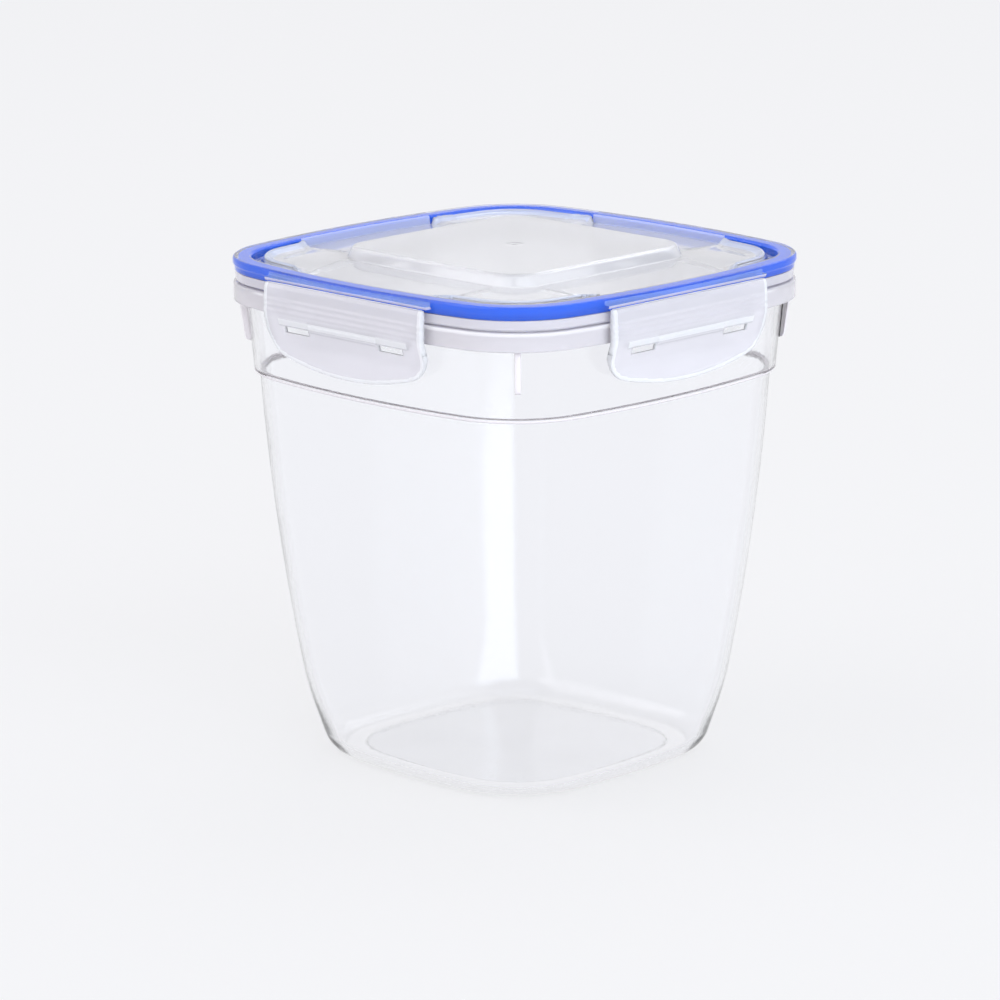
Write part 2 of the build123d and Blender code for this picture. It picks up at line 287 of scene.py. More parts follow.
def disc(height, sizes, shares):
    """Rows that cover a flat face: the outline drawn smaller and smaller towards the middle."""
    return np.stack([np.r_[height, np.asarray(sizes, float) * share] for share in shares])


print("A rounded corner takes", len(softened([row(0, rim), row(1, rim), row(1, rim, 1)], [0.3])) - 2, "rows")

# %% [markdown]
# Every row has the same number of points, so the rows are a grid, and each square of the grid is a face.
# A skin that starts and ends on the axis is closed with a fan of triangles, and a ring joins its last row
# to its first. The arrays go into the mesh in one call each, which is quick for a hundred thousand faces.

# %% Meshes from grids
def add_mesh(name, points, faces):
    """A mesh object from arrays: points in millimetres, and faces in groups of one size each."""
    mesh = bpy.data.meshes.new(name)
    sizes = np.concatenate([np.full(len(group), group.shape[1]) for group in faces])
    corners = np.concatenate([group.ravel() for group in faces])
    mesh.vertices.add(len(points))
    mesh.vertices.foreach_set("co", (np.asarray(points) * mm).astype(np.float32).ravel())
    mesh.loops.add(len(corners))
    mesh.loops.foreach_set("vertex_index", corners.astype(np.int32))
    mesh.polygons.add(len(sizes))
    mesh.polygons.foreach_set("loop_start", np.r_[0, np.cumsum(sizes)[:-1]].astype(np.int32))
    mesh.polygons.foreach_set("loop_total", sizes.astype(np.int32))
    mesh.polygons.foreach_set("use_smooth", np.ones(len(sizes), bool))
    mesh.update(calc_edges=True)
    piece = bpy.data.objects.new(name, mesh)
    bpy.context.scene.collection.objects.link(piece)
    print(name, "has", int((sizes - 2).sum()), "triangles")
    return piece


def carried_round(name, points, ends=None):
    """A skin over rows of points that run round the box, closed by a fan at each end,
    or joined from last row to first where it has no ends."""
    count, around = points.shape[:2]
    number = np.arange(count * around).reshape(count, around)
    if ends is None:
        number = np.vstack([number, number[:1]])
    beside = np.roll(number, -1, axis=1)
    quads = np.stack([number[:-1], beside[:-1], beside[1:], number[1:]], -1).reshape(-1, 4)
    flat = points.reshape(-1, 3)
    if ends is None:
        return add_mesh(name, flat, [quads])
    first, last = len(flat), len(flat) + 1
    opening = np.stack([beside[0], number[0], np.full(around, first)], -1)
    closing = np.stack([number[-1], beside[-1], np.full(around, last)], -1)
    flat = np.vstack([flat, [(0, 0, ends[0]), (0, 0, ends[1])]])
    return add_mesh(name, flat, [quads, opening, closing])


def upright(rows, points):
    """Adds the rows' heights to points that have only x and y."""
    heights = np.broadcast_to(rows[:, :1], points.shape[:2])
    return np.concatenate([points, heights[..., None]], -1)


def eased(value, start, end):
    """0 before start, 1 after end, and a smooth climb between."""
    share = np.clip((value - start) / (end - start), 0, 1)
    return share * share * (3 - 2 * share)


# %% [markdown]
# The tub is one clear moulding. Its profile starts in the middle of the underside, goes out over the foot
# ring, up the bowed wall and over the ledge to the flange, turns over the lip and comes down inside to the
# floor. The corners have a groove under the flange. The sides have none: the flange is solid there and cut
# straight, because that is where the latches catch. So two profiles with as many rows are mixed.

# %% Tub profile
wall = 1.6
neck_foot = ledge + [wall, wall, wall]
rounder = 10.0
sole = foot + [0, 0, rounder]
recess, floor_top = 0.8, 1.8
low, high = 0.14, 0.97
bow = 1.9


def wall_rows(inset, top, shares):
    """Rows of the bowed wall: foot and ledge mixed by share, plus the bow at mid height.
    Near the foot the corners turn rounder, by a power of what is left of the lowest fifth."""
    sizes = foot + (ledge - foot) * shares[:, None] - inset
    sizes[:, 2] += rounder * np.clip(1 - shares / 0.2, 0, None) ** 1.3
    sizes[:, 0] += 4 * bow * shares * (1 - shares)
    return np.column_stack([top * shares, sizes])


neck_levels = (125.0, 127.5, 127.75, 127.9, 128.15, 128.5, 129.0, 132.0, 136.0, 139.0)


def tub_rows(groove):
    """The tub's profile. groove is how far the groove under the flange goes up."""
    ring = 11.5
    outside = [row(recess, sole * 0.98, ring), row(recess, sole, ring), row(0.0, sole, ring), row(0.0, sole),
               wall_rows(0, ledge_height, np.array([low]))[0]]
    outside = softened(outside, [0.3, 0.3, 7.5], steps=10)
    rising = wall_rows(0, ledge_height, np.linspace(low, 1, 15))[1:-1]
    groove_in, groove_roof, groove_out = neck_top + 0.1, rim - 2.0, rim - 2.0
    if groove < 1:
        step_out = rim - 2.25 - neck_top
        groove_in, groove_roof, groove_out = [neck_top + step_out * share for share in (0.3, 0.6, 0.9)]
    upper = [
        wall_rows(0, ledge_height, np.array([high]))[0],
        row(ledge_height, ledge),
        row(ledge_height, neck_foot),
        *[row(height, neck_foot + (neck_top - neck_foot) * (height - ledge_height) / neck_height)
          for height in neck_levels],
        row(flange_bottom, neck_top),
        row(flange_bottom + groove, groove_in),
        row(flange_bottom + groove, groove_roof),
        row(flange_bottom, groove_out),
        row(flange_bottom, rim, 0.15),
        row(flange_top, rim, 0.15),
        row(flange_top, rim, 2.4),
        row(lip_top, rim, 2.4),
        row(lip_top, rim, 4.1),
        row(flange_top, rim, 4.1),
        row(flange_bottom, neck_top, wall),
        row(ledge_top, ledge),
        row(ledge_top, ledge, wall),
        wall_rows(wall, ledge_top, np.array([high]))[0],
    ]
    radii = [0.35, 1.4] + [0] * len(neck_levels)
    radii += [0.25, 0.3, 0.3, 0.3, 0.3, 0.6, 0.3, 0.4, 0.4, 2.0, 2.0, 0.12, 0.3]
    upper = softened(upper, radii, steps=4, hold=0.12)
    falling = wall_rows(wall, ledge_top, np.linspace(high, low, 15))[1:-1]
    inside = [wall_rows(wall, ledge_top, np.array([low]))[0], row(floor_top, sole, wall),
              row(floor_top, sole, 11.0)]
    inside = softened(inside, [5.9], steps=10)
    floor_face = disc(floor_top, sole - 11.0, (0.75, 0.5, 0.25, 0.05))
    under = disc(recess, sole - ring, (0.05, 0.3, 0.6, 0.9))
    return np.concatenate([under, outside[1:], rising, upper, falling, inside, floor_face])


deep_groove, no_groove = 3.8, 0.04
grooved, solid = tub_rows(deep_groove), tub_rows(no_groove)
print("The tub's profile has", len(grooved), "rows")

# %% [markdown]
# The flange is taken to be straight behind each latch and hollow between them, as moulds often leave it.
# Two finished profiles could be cut and joined, but mixing them point by point keeps one closed skin.
# The four fins are then pushed out of the same skin, so nothing has to be joined to the neck.

# %% Tub skin
def one_moulding(first, second, share):
    """Mixes two profiles along the path: share is 1 where the first one holds."""
    mixed = upright(first, path(first[:, 1:])) * share
    return mixed + upright(second, path(second[:, 1:])) * (1 - share)


rim_along = own_side(path(rim[None]))[1]
past_hook = eased(np.where(on_side, np.abs(rim_along[0]), 99), hook_end, hook_end + 0.5)
tub_points = one_moulding(grooved, solid, past_hook[None, :, None])
outside_rows = (np.arange(len(grooved)) < np.argmax(grooved[:, 0]))[:, None]
lowered = np.interp(tub_points[..., 2], [139.0, 140.6, 141.6, 142.2], [0, 0.4, 0.4, 0]) * outside_rows
tub_points[..., 2] -= lowered * past_hook
out, along = own_side(tub_points)
flange_rows = (tub_points[..., 2] > flange_bottom - 0.5) & (tub_points[..., 2] < flange_top + 0.2)
out = np.where(flange_rows & (out > catch_reach), catch_reach + 0.01 * (out - catch_reach), out)

# A fin under the flange at each corner: a bar 1.8 mm thick that stands out 1.7 mm at its foot
# and 2.3 mm at its head
from_corner = np.where(on_side, 99, np.abs(step - 0.5) * corner_length)
edge_loss = 0.4 - np.sqrt(np.clip(0.16 - np.clip(from_corner - 0.5, 0, 0.4) ** 2, 0, None))
edge_loss = np.where(from_corner <= 0.901, edge_loss, 99)
fin_foot = 127.8
rise = grooved[:, 0] - fin_foot
fin_reach = np.interp(rise, [0, 0.1, 0.35, 0.7, 1.2, 13.0, 13.3], [0, 1.02, 1.38, 1.61, 1.75, 2.3, 1.6])
fin_reach[np.argmax(grooved[:, 0] > flange_bottom + 0.02):] = 0
fin = np.clip(fin_reach[:, None] - edge_loss[None, :], 0, None) / math.sqrt(2)
tub_points[..., :2] = turned_out(out + fin, along + fin)
tub = carried_round("tub_moulding", tub_points, ends=(recess, floor_top))
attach(tub, "tub")
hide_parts("tub")

# %% [markdown]
# The lid is a second moulding, a little milky. Its profile starts at the gate mark in the middle of the
# raised plateau, comes down to the sunken floor, climbs the rim, goes down the bead and the skirt, round the
# channel that holds the seal, and comes back under the lid. Rails stand out at the middle of each side: they
# are straight where the rim bows, so they show most at their ends.

# %% Lid profile
gate_reach = np.array([0.05, 0.5, 0.75, 0.95, 1.5, 2.3, 2.45, 2.65, 2.9, 4.0])
gate_depth = np.array([0.0, 0.0, 0.02, 0.08, 0.08, 0.08, 0.06, 0.02, 0.0, 0.0])
top_gate = np.column_stack([lid_top - gate_depth, gate_reach, 1.15 * gate_reach, 0.9 * gate_reach])
plateau_top = plateau_foot - [1.6, 0, 1.6]
foot_height = 152.9
lid_bottom = 155.3
floor_insets = np.array([7.0, 7.6, 8.2, 8.6, 8.9, 9.15, 9.5, 10.0, 10.5, 11.0, 11.5, 12.2, 13.0, 13.8, 14.5,
                         15.3, 16.5, 18.0, 19.5, 21.0, 22.5, 24.0, 25.5, 27.0, 28.8])


def floor_rows(insets, drop):
    """The sunken floor, from the well's wall to the plateau: it climbs 1.8 mm
    and its outline turns squarer."""
    share = np.clip((insets - 15.5) / (71 - plateau_foot[0] - 15.5), 0, 1)[:, None]
    sizes = (rim - np.minimum(insets, 15.5)[:, None]) * (1 - share) + plateau_foot * share
    climb = (foot_height - well_bottom) * (insets - 6.2) / (71 - plateau_foot[0] - 6.2)
    return np.column_stack([well_bottom - drop + climb, sizes])


top = [
    row(lid_top, plateau_top * [0.3, 1, 0.3]),
    row(lid_top, plateau_top),
    row(foot_height, plateau_foot),
    *floor_rows(floor_insets[::-1], 0),
    row(well_bottom, rim, 6.2),
    row(rim_top, rim, 5.7),
    row(rim_top, rim),
    row(152.12, rim),
    row(152.0, rim),
    row(151.57, rim, 0.36),
    row(151.4, rim, 0.5),
    row(151.2, rim, 0.51),
    row(151.0, rim, 0.52),
    row(150.95, rim, 0.53),
    row(149.9, rim, 0.6),
    row(149.8, rim, 0.61),
    row(skirt_bottom, rim, 0.8),
    row(skirt_bottom, rim, 1.8),
    row(152.9, rim, 1.8),
    row(152.9, rim, 4.9),
    row(147.3, rim, 4.9),
    row(147.3, rim, 6.2),
    row(149.9, rim, 6.2),
    *floor_rows(floor_insets, lid_thickness),
    row(foot_height - lid_thickness, plateau_foot, lid_thickness),
    row(lid_bottom, plateau_top, lid_thickness),
    row(lid_bottom, plateau_top * [0.3, 1, 0.3]),
]
flat = [0] * len(floor_insets)
radii = [1.2, 0.8] + flat + [0.3, 0.9, 0.9] + [0] * 9
radii += [0.25, 0.25, 0.3, 0.3, 0.25, 0.3, 0.2] + flat + [0.8, 0.8]
top = softened(top, radii, steps=5)
shrinking = plateau_top * [0.3, 1, 0.3]
inner_disc = [row(lid_bottom, shrinking * [share, 1, share]) for share in (0.8, 0.5, 0.2, 0.05)]
lid_rows = np.concatenate([top_gate, top, inner_disc])[::-1]
print("The lid's profile has", len(lid_rows), "rows")

# %% [markdown]
# The sunken floor of the real lid turns up into a soft ramp in each corner, between the rails. A ramp could
# be a piece of its own, but then its edge would show through the clear plastic. Here the skin itself is
# lifted: each point rises by an amount that depends on how far it is from the rim and from its side's middle.

# %% Lid skin
lid_points = upright(lid_rows, path(lid_rows[:, 1:]))
out, along = own_side(lid_points)

# A ramp in each corner of the sunken floor: it starts 27 mm from the middle of each side
from_middle = np.where(on_side[None, :], np.abs(along), 99.0)
inset = 71 - lid_rows[:, 1:2]
on_floor = (inset > 6.5) & (inset < 30.5)
crest = np.interp(from_middle, [27.0, 33.5], [6.4, 9.8])
down = np.interp(inset - crest, [-1.0, -0.55, -0.2, 0, 0.35, 1.7, 3.4, 5.0],
                 [0.2, 0.7, 2.1, 2.3, 2.2, 1.0, 0.35, 0])
edge = 27.2 + 2.8 * (inset - 6) / 23.8
in_corner = eased(from_middle, edge, edge + 1.0)
rib = 0.3 * np.clip(1 - np.abs(from_middle - edge - 1.1) / 1.3, 0, 1) * (inset > 12)
lift = down * eased(from_middle, 27.0, 28.0) + 0.32 * in_corner + rib
lift = lift * np.interp(inset, [29.2, 30.4], [1, 0.4]) * on_floor
lid_points[..., 2] += lift
on_rail = np.interp(np.abs(rim_along[0]), [rail_end - 0.4, rail_end - 0.08, rail_end], [1, 0.93, 0]) * on_side
rail_face = np.interp(lid_rows[:, 0], [150.98, 151.0, 151.2, 151.4, 151.57, 152.0, 152.1],
                      [0, 70.76, 70.71, 70.76, 71.0, 71.0, 0])
outer_rows = lid_rows[:, 1] > 70.4
push = np.clip(rail_face[:, None] - out, 0, None) * on_rail[None, :] * outer_rows[:, None]
lid_points[..., :2] = turned_out(out + push, along)
lid = carried_round("lid_moulding", lid_points, ends=(lid_bottom, lid_top))


def middles(values):
    """The mean of each row's value and the next one's: one value for each band of faces."""
    return (values[1:] + values[:-1]) / 2


lid_height, lid_half = middles(lid_rows[:, 0]), middles(lid_rows[:, 1])
milky_floor, clear_bead, milky_skirt, sheen_bead_slot, blue_light_slot = range(5)
lid_slots = np.where(lid_half > 65.5, np.where(lid_height > 149.85, clear_bead, milky_skirt), milky_floor)
lid_slots = np.broadcast_to(lid_slots[:, None], (len(lid_rows) - 1, lid_points.shape[1])).copy()
behind_rail = (on_rail > 0.5)[None, :]
in_sector = middles(from_middle * np.ones_like(inset)) > 27.6
bead_faces = (lid_half > 70.2) & (lid_height > 152.05) & (lid_height < 153.4)
rail_faces = (lid_half > 70.4) & (lid_height > 151.25) & (lid_height < 152.05)
well_faces = ((lid_half > 64.4) & (lid_half < 65.5) & (lid_height > 151.0))[:, None]
from_crest = middles(inset - crest)
on_ramp = (lid_half[:, None] < 64.4) & (from_crest < 2.4) & (lid_height > 149.8)[:, None] & in_sector
# Ramp crests and the well walls along the sides get a pale blue finish: painted blue light where the seal
# shows through the clear walls, and painted lilac shade on the ramps.
lid_slots[on_ramp] = np.where(from_crest[on_ramp] > -0.4, blue_light_slot, clear_bead)
lid_slots = np.where(well_faces, np.where(in_sector, clear_bead, blue_light_slot), lid_slots)
# The bead behind each rail gets a pale blue cloud: a painted sheen, the bright mirror lines along the sides.
lid_slots[bead_faces[:, None] & behind_rail] = sheen_bead_slot
lid_slots[rail_faces[:, None] & behind_rail] = milky_skirt
print("Lid faces in each finish:", np.bincount(lid_slots.ravel()))
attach(lid, "lid")
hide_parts("lid")

# %% [markdown]
# The film hinge is a web as thin as paper between the rail and the flap, moulded in one shot with both.
# It is waisted, so that it bends in the middle. Here it stays straight and rides on the lid, with a gap of
# 0.05 mm below it in which the flap can turn.

# %% Film hinges
web_section = np.array([(71.02, 150.985), (70.78, 150.985), (70.82, 150.9), (70.83, 150.87), (70.82, 150.84),
                        (70.78, 150.8), (71.02, 150.8), (70.98, 150.84), (70.97, 150.87), (70.98, 150.9)])
web_steps = np.linspace(-32.6, 32.6, 27)


def sides_of(points, turn):
    """Points given as out, along and up, turned by whole quarters to their own side of the box."""
    c, s = round(math.cos(math.radians(turn))), round(math.sin(math.radians(turn)))
    return points @ np.array([[c, s, 0], [-s, c, 0], [0, 0, 1]])


def web(name, turn):
    """The section carried straight along the side, with a flat face at each end."""
    count, steps = len(web_section), len(web_steps)
    points = np.zeros((steps, count, 3))
    points[..., 0], points[..., 2] = web_section[:, 0], web_section[:, 1]
    points[..., 1] = web_steps[:, None]
    number = np.arange(steps * count).reshape(steps, count)
    beside = np.roll(number, -1, axis=1)
    quads = np.stack([number[:-1], beside[:-1], beside[1:], number[1:]], -1).reshape(-1, 4)
    return add_mesh(name, sides_of(points.reshape(-1, 3), turn), [quads, number[:1, ::-1], number[-1:]])


turns = {"right": 0, "back": 90, "left": 180, "front": 270}
webs = {}
for side, turn in turns.items():
    webs[side] = web("film_web_" + side, turn)
    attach(webs[side], "lid")
    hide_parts("film_hinge_" + side)

# %% [markdown]
# The seal is a ring of blue rubber that lies in the lid's channel. Its section is nearly square,
# with its lower edges rounded where the tub's lip slips under it. It is pressed 0.08 mm into the walls of
# the channel: with no air between, the plastic shows the seal's colour and not a mirror.

# %% Seal
seal_rows = [row(151.3, rim, 1.72), row(152.97, rim, 1.72), row(152.97, rim, 4.98),
             row(149.7, rim, 4.98), row(149.7, rim, 1.72), row(151.3, rim, 1.72)]
seal_rows = softened(seal_rows, [0.15, 0.15, 0.5, 0.5], steps=5)[:-1]
seal = carried_round("seal_ring", upright(seal_rows, path(seal_rows[:, 1:])))
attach(seal, "lid")
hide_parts("gasket")

# %% [markdown]
# A latch is a thin flap with a deeper border, a hook bar behind it and two windows under the bar.
# It is drawn as a slab: a front and a back sheet over one grid of steps, with walls where cells are left out.
# Rows of the grid are level at the top and bend round the flap's curved toe at the bottom.

# %% Latch grid
latch_half, latch_top, latch_bottom = 32.9, 150.75, 125.5
lobe_x = latch_half - 8.5
lobe_z = latch_bottom + 100 - math.sqrt(91.5**2 - lobe_x**2)
half_steps = np.array([0, 2.6, 5.2, 7.8, 10.4, 12.6, 13.8, 14.1, 14.3, 14.45, 14.6, 14.75, 15.1, 16.6, 18.6,
                       20.6, 22.6, 24.2, 24.6, 24.8, 24.95, 25.3, 26.2, 26.8, 27.0, 27.15, 27.5, 28.3, 29.2,
                       30.1, 30.8, 31.25, 31.45, 31.6, 31.8, 32.05, 32.3, 32.5, 32.65, 32.77, 32.85, 32.89,
                       32.9])
across = np.concatenate([-half_steps[:0:-1], half_steps])
levels = np.concatenate([
    [150.75, 150.73, 150.66, 150.52, 150.3, 150.0, 149.65, 149.3, 148.7, 148.1],
    np.linspace(147.6, 141.4, 26),
    [141.1, 140.95, 140.85, 140.72, 140.5, 140.2, 140.05, 139.9, 139.6, 139.2, 139.05, 138.95, 138.82,
     138.7, 138.62, 138.55, 138.48, 138.3, 138.1, 138.02, 137.9, 137.5, 137.0, 136.75, 136.62, 136.55,
     136.48, 136.3],
    np.linspace(135.7, 128.9, 13),
    latch_bottom + np.array([2.6, 2.0, 1.6, 1.4, 1.2, 0.9, 0.6, 0.4, 0.25, 0.13, 0.05, 0])])
reach = np.abs(across)
toe = latch_bottom + 100 - np.sqrt(100**2 - across**2)
lobe = lobe_z - np.sqrt(np.clip(8.5**2 - np.clip(reach - lobe_x, 0, 8.5) ** 2, 0, None))
lower_edge = np.where(reach < lobe_x * 100 / 91.5, toe, lobe)
level_end = 136.3 + 2.9 * eased(reach, 27.4, latch_half)
upper_share = np.clip((levels - 136.3) / (141.1 - 136.3), 0, 1)[:, None]
lower_share = np.clip((levels - latch_bottom) / (136.3 - latch_bottom), 0, 1)[:, None]
up = np.where(levels[:, None] >= 141.1, levels[:, None], level_end + upper_share * (141.1 - level_end))
up = np.where(levels[:, None] <= 136.3, lower_edge + lower_share * (level_end - lower_edge), up)
sideways = np.broadcast_to(across, up.shape)
print("The latch grid has", up.shape, "steps")


# %% Latch faces
def bent(heights, reaches, rounding):
    """A line of straight runs as a table over height, averaged over the rounding to soften its creases."""
    fine = np.arange(124, 152, 0.02)
    line = np.interp(fine, heights, reaches)
    count = max(int(rounding / 0.02), 1)
    padded = np.pad(line, count, mode="edge")
    return fine, np.convolve(padded, np.ones(count) / count, "same")[count:-count]


def band(value, low, high, edge=0.12):
    """1 between low and high and 0 outside, with steep smooth edges."""
    return eased(value, low - edge / 2, low + edge / 2) * (1 - eased(value, high - edge / 2, high + edge / 2))


fold = [latch_bottom, 133.0, 141.1, 149.65, 150.75]
front = np.where(up < 147, np.interp(up, *bent(fold, [70.07, 69.97, 72.3, 72.0, 71.45], 2.4)),
                 np.interp(up, *bent(fold, [70.07, 69.97, 72.3, 72.0, 71.45], 0.3)))
back = np.interp(up, *bent([latch_bottom, 133.0, 141.1, 150.75], [68.97, 68.87, 71.2, 70.9], 2.4))
border_back = np.interp(up, [latch_bottom, 133.0, 136.13, 141.1, 150.75], [68.97, 68.87, 68.87, 70.3, 70.3])
edge_line = np.concatenate([np.column_stack([across, lower_edge]), [(side * latch_half, z) for side in (-1, 1)
                            for z in np.linspace(lobe_z, latch_top, 60)]])
spread = np.linspace(-latch_half, latch_half, 1200)
edge_line = np.concatenate([edge_line, np.column_stack([spread, np.interp(spread, across, lower_edge)])])
gap_x = sideways[..., None] - edge_line[:, 0]
gap_z = up[..., None] - edge_line[:, 1]
from_edge = np.sqrt((gap_x**2 + gap_z**2).min(-1))
from_top = latch_top - up


def rolled(distance, radius):
    """How far a face falls back near its edge: radius minus the height of a circle at that distance."""
    inside = np.clip(1 - distance / radius, 0, 1)
    return radius * (1 - np.sqrt(1 - inside**2))


in_border = 1 - eased(from_edge, 1.22, 1.42)
back = back + (np.minimum(back, border_back) - back) * in_border
hook = band(up, 138.95, 140.85) * band(reach, -1, hook_end)
back = back + (np.minimum(back, 68.87) - back) * hook
for height in (142.8, 144.5, 146.2):
    front = front + 0.15 * np.cos(np.clip((up - height) / 1.5, -0.5, 0.5) * math.pi) ** 2
front = front + 0.32 * band(up, 138.05, 140.05, 0.5) * band(reach, -1, 14.3, 0.4)
front = front + 0.14 * band(up, 138.65, 140.9, 0.4) * band(reach, 14.6, 27.0, 0.5)
front = np.minimum(front + 0.1 * (1 - eased(from_edge, 0.9, 1.5)), 72.43)
front = front - rolled(from_edge, 0.42) - rolled(from_top, 0.2)
back = back + rolled(from_edge, 0.3)
print("The latch is up to", round(float((front - back).max()), 2), "mm thick")

# %% Latch slabs
middle_x, middle_z = (across[:-1] + across[1:]) / 2, (levels[:-1] + levels[1:]) / 2
in_window = (np.abs(middle_x) > 14.6) & (np.abs(middle_x) < 24.8)
kept = ~(((middle_z > 136.55) & (middle_z < 138.55))[:, None] & in_window[None, :])
rows_in, columns_in = up.shape
number = np.arange(rows_in * columns_in).reshape(up.shape)


def slab_faces():
    """Front and back quads of the kept cells, and a wall where a kept cell has no kept neighbour."""
    a, b, c, d = number[:-1, :-1], number[1:, :-1], number[1:, 1:], number[:-1, 1:]
    made = [np.stack([a, b, c, d], -1)[kept], (np.stack([d, c, b, a], -1) + number.size)[kept]]
    padded = np.pad(kept, 1)
    rows, columns = kept.shape
    for down, right, start, end in ((0, 1, d, c), (0, -1, b, a), (-1, 0, a, d), (1, 0, c, b)):
        beside = padded[1 + down:1 + down + rows, 1 + right:1 + right + columns]
        edge = kept & ~beside
        made.append(np.stack([start, end, end + number.size, start + number.size], -1)[edge])
    return np.concatenate(made)


print("Cells kept:", int(kept.sum()), "of", kept.size)
quads = slab_faces()
thick = (in_border + hook > 0.5)[:-1, :-1][kept]
latches = {}
for side, turn in turns.items():
    sheets = np.stack([np.stack([face, sideways, up], -1) for face in (front, back)]).reshape(-1, 3)
    flap = add_mesh("flap_" + side, sides_of(sheets, turn), [quads])
    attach(flap, "latch_" + side)
    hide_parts("latch_" + side)
    latches[side] = flap

# %% [markdown]
# The finishes come next. A moulded plastic is never quite even: its skin has long shallow waves from cooling,
# a fine grain from the mould, and hair scratches from the cupboard. These are one shared group, which gives
# each plastic its own roughness and height from its own values.

# %% The moulded skin, a shared group
def moulded_skin():
    """Roughness climbs from Smooth to Dull with cloudy patches and scratches.
    Height adds waves and grain."""
    group = bpy.data.node_groups.new("moulded_skin", "ShaderNodeTree")
    starting_values = (("Wave size", 0.03), ("Grain size", 0.0006), ("Smooth", 0.02), ("Dull", 0.1),
                       ("Scratches", 0.3))
    for name, value in starting_values:
        socket = group.interface.new_socket(name, in_out="INPUT", socket_type="NodeSocketFloat")
        socket.default_value = value
    for name in ("Roughness", "Height"):
        group.interface.new_socket(name, in_out="OUTPUT", socket_type="NodeSocketFloat")
    inside, outside = group.nodes.new("NodeGroupInput"), group.nodes.new("NodeGroupOutput")
    place = group.nodes.new("ShaderNodeTexCoord")

    def noise(size_socket, detail):
        """Noise whose features are as large as a size in metres: its scale is one over the size."""
        scale = group.nodes.new("ShaderNodeMath")
        scale.operation = "DIVIDE"
        scale.inputs[0].default_value = 1.0
        joined(group, inside, size_socket, scale, 1)
        made = group.nodes.new("ShaderNodeTexNoise")
        made.inputs["Detail"].default_value = detail
        joined(group, place, "Object", made, "Vector")
        joined(group, scale, 0, made, "Scale")
        return made

    def arithmetic(operation, first, second):
        """One sum or product of two sockets or numbers."""
        made = group.nodes.new("ShaderNodeMath")
        made.operation = operation
        for number, value in enumerate((first, second)):
            if isinstance(value, float):
                made.inputs[number].default_value = value
            else:
                group.links.new(value, made.inputs[number])
        return made.outputs[0]

    waves, grain = noise("Wave size", 1.0), noise("Grain size", 2.0)
    stretch = group.nodes.new("ShaderNodeMapping")
    stretch.inputs["Rotation"].default_value = (0.3, 0.5, 0.9)
    stretch.inputs["Scale"].default_value = (25.0, 900.0, 900.0)
    joined(group, place, "Object", stretch, "Vector")
    hairs = group.nodes.new("ShaderNodeTexNoise")
    hairs.inputs["Scale"].default_value = 1.0
    hairs.inputs["Detail"].default_value = 0.0
    joined(group, stretch, 0, hairs, "Vector")
    lines = group.nodes.new("ShaderNodeMapRange")
    lines.inputs["From Min"].default_value = 0.68
    lines.inputs["From Max"].default_value = 0.74
    joined(group, hairs, 0, lines, 0)
    scratch = arithmetic("MULTIPLY", lines.outputs[0], inside.outputs["Scratches"])
    cloud = arithmetic("ADD", waves.outputs[0], scratch)
    spread = arithmetic("SUBTRACT", inside.outputs["Dull"], inside.outputs["Smooth"])
    rough = arithmetic("ADD", arithmetic("MULTIPLY", cloud, spread), inside.outputs["Smooth"])
    height = arithmetic("ADD", waves.outputs[0], arithmetic("MULTIPLY", grain.outputs[0], 0.06))
    group.links.new(rough, outside.inputs["Roughness"])
    group.links.new(height, outside.inputs["Height"])
    return group


skin = moulded_skin()
print("Shared group:", skin.name)

# %% [markdown]
# Each moulding has more than one finish. A clear plastic looks milky where it is thick or etched, and two of
# the lid's
# finishes are painted light: a painted sheen on the bead behind the rails, and painted blue where the seal
# shows through the well walls, with painted lilac shade on the ramps.
# The finishes are all one shader with its own colour, clearness and skin, so only their values differ.
# Tinted glass could be coloured by depth, but two finishes on one closed skin would then disagree about which
# of them the light is travelling in. So the colour is put on the surface instead.

# %% Plastics
plastic_index = 1.49


def plastic(name, colour, clear, skin_values, bump, mirror=0.5):
    """A moulded plastic: colour, how clear it is, the values of its skin, the depth of its bumps
    in metres, and how strongly it mirrors (0.5 is what its index gives)."""
    made = bpy.data.materials.new(name)
    made.use_nodes = True
    tree = made.node_tree
    shader = tree.nodes["Principled BSDF"]
    shader.inputs["Base Color"].default_value = (*colour, 1.0)
    shader.inputs["IOR"].default_value = plastic_index
    shader.inputs["Transmission Weight"].default_value = clear
    shader.inputs["Specular IOR Level"].default_value = mirror
    surface = tree.nodes.new("ShaderNodeGroup")
    surface.node_tree = skin
    for socket, value in skin_values.items():
        surface.inputs[socket].default_value = value
    joined(tree, surface, "Roughness", shader, "Roughness")
    relief = tree.nodes.new("ShaderNodeBump")
    relief.inputs["Strength"].default_value = 1.0
    relief.inputs["Distance"].default_value = bump
    joined(tree, surface, "Height", relief, "Height")
    joined(tree, relief, "Normal", shader, "Normal")
    return made


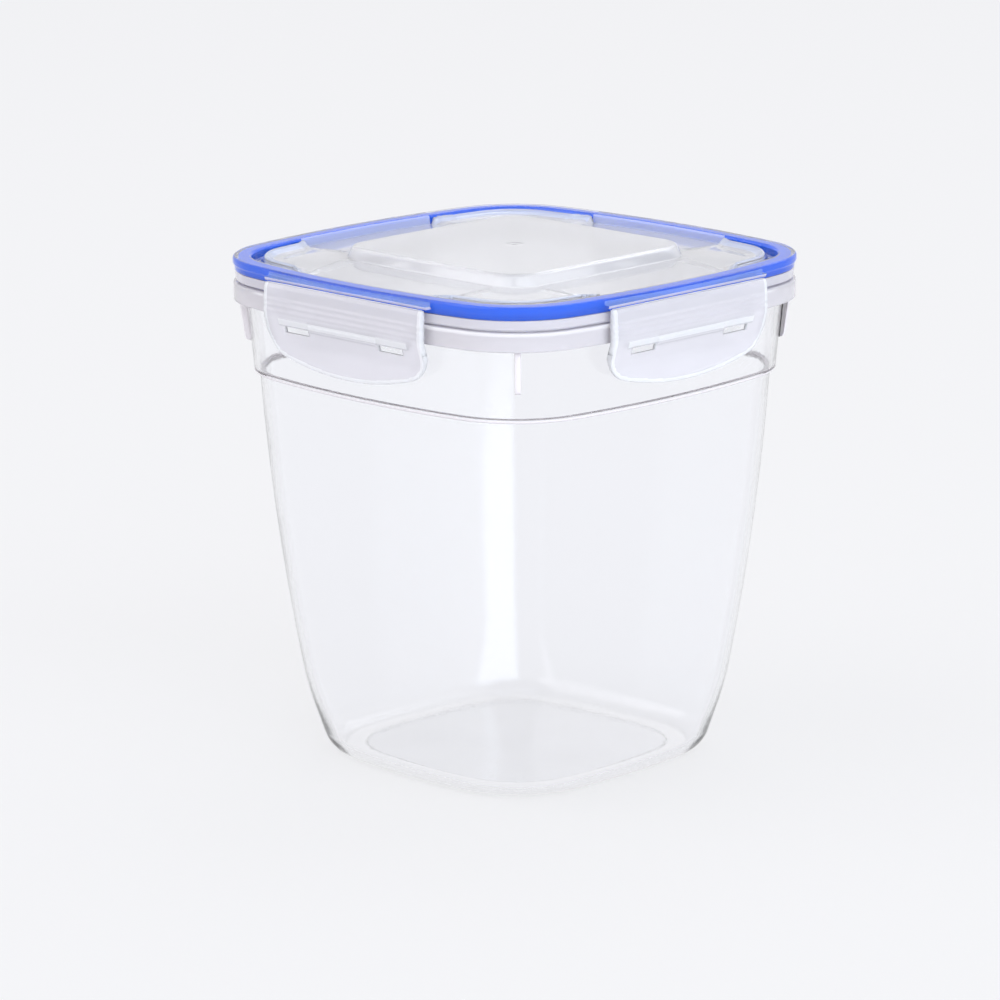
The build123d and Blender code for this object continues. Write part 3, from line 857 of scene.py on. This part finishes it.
calm = {"Wave size": 0.045, "Smooth": 0.0, "Dull": 0.05, "Scratches": 0.4}
milky = {"Wave size": 0.03, "Smooth": 0.04, "Dull": 0.14, "Scratches": 0.2}
frosted = {"Wave size": 0.02, "Smooth": 0.12, "Dull": 0.26, "Scratches": 0.1}
silky = {"Wave size": 0.01, "Grain size": 0.0004, "Smooth": 0.3, "Dull": 0.5, "Scratches": 0.0}
clear_plastic = plastic("clear_plastic", (0.985, 0.988, 1.0), 1.0, calm, 0.0002)
clear_edge = plastic("clear_edge", (0.86, 0.83, 0.865), 0.42, milky, 0.0001)
ledge_plastic = plastic("ledge_plastic", (0.86, 0.81, 0.84), 0.12, milky, 0.0001)
lid_plastic = plastic("lid_plastic", (0.965, 0.96, 0.98), 0.66, milky, 0.0001)
rim_plastic = plastic("rim_plastic", (0.97, 0.975, 1.0), 0.98, calm, 0.0001)
skirt_plastic = plastic("skirt_plastic", (0.87, 0.84, 0.885), 0.46, milky, 0.0001)
# The pale blue bead finish is a painted sheen along the sides of the bead, behind the rails.
bead_sheen_paint = plastic("bead_sheen_paint", (0.5, 0.7, 1.0), 0.72, calm, 0.0001)
# The pale blue well finish is painted light: the seal's blue seen through the clear walls, and the lilac
# shade on the ramps.
well_blue_paint = plastic("well_blue_paint", (0.8, 0.85, 1.0), 0.5, milky, 0.0001)
latch_plastic = plastic("latch_plastic", (0.94, 0.92, 0.965), 0.5, frosted, 0.00005)
latch_border = plastic("latch_border", (0.98, 0.98, 1.0), 0.36, frosted, 0.00005)
seal_rubber = plastic("seal_rubber", (0.0, 0.145, 1.0), 0.0, silky, 0.0001, mirror=0.1)
print("The clear plastic bends light by an index of", plastic_index)

# %% [markdown]
# A finish is given face by face. The rows of a profile tell which part of the moulding a face is on, so the
# ledge, the flange, the rails and the ramps are picked out by height and distance, with no seam in the skin.

# %% Dress the pieces
def dressed(piece, materials, slots=None):
    """Gives a piece its materials and each face the number of its own.
    Faces past the list keep the first."""
    for made in materials:
        piece.data.materials.append(made)
    if slots is not None:
        numbers = np.zeros(len(piece.data.polygons), np.int32)
        numbers[:slots.size] = slots.ravel()
        piece.data.polygons.foreach_set("material_index", numbers)


tub_height, tub_half = middles(grooved[:, 0]), middles(grooved[:, 1])
on_ledge = (tub_height > 118.5) & (tub_height < 120.4) & (tub_half > 62)
on_flange = (tub_height > 140.8) & (tub_half > 66.9)
on_fin = middles(fin) > 0.3
tub_slots = np.where(on_ledge[:, None] | on_fin, 2, on_flange[:, None])
dressed(tub, [clear_plastic, clear_edge, ledge_plastic], tub_slots)
dressed(lid, [lid_plastic, rim_plastic, skirt_plastic, bead_sheen_paint, well_blue_paint], lid_slots)
dressed(seal, [seal_rubber])
flap_slots = np.ones(len(quads), np.int32)
flap_slots[:2 * len(thick)] = np.tile(thick, 2)
for side, flap in latches.items():
    dressed(flap, [latch_plastic, latch_border], flap_slots)
    dressed(webs[side], [latch_border])
print("Finished pieces:", 3 + len(latches) + len(webs))
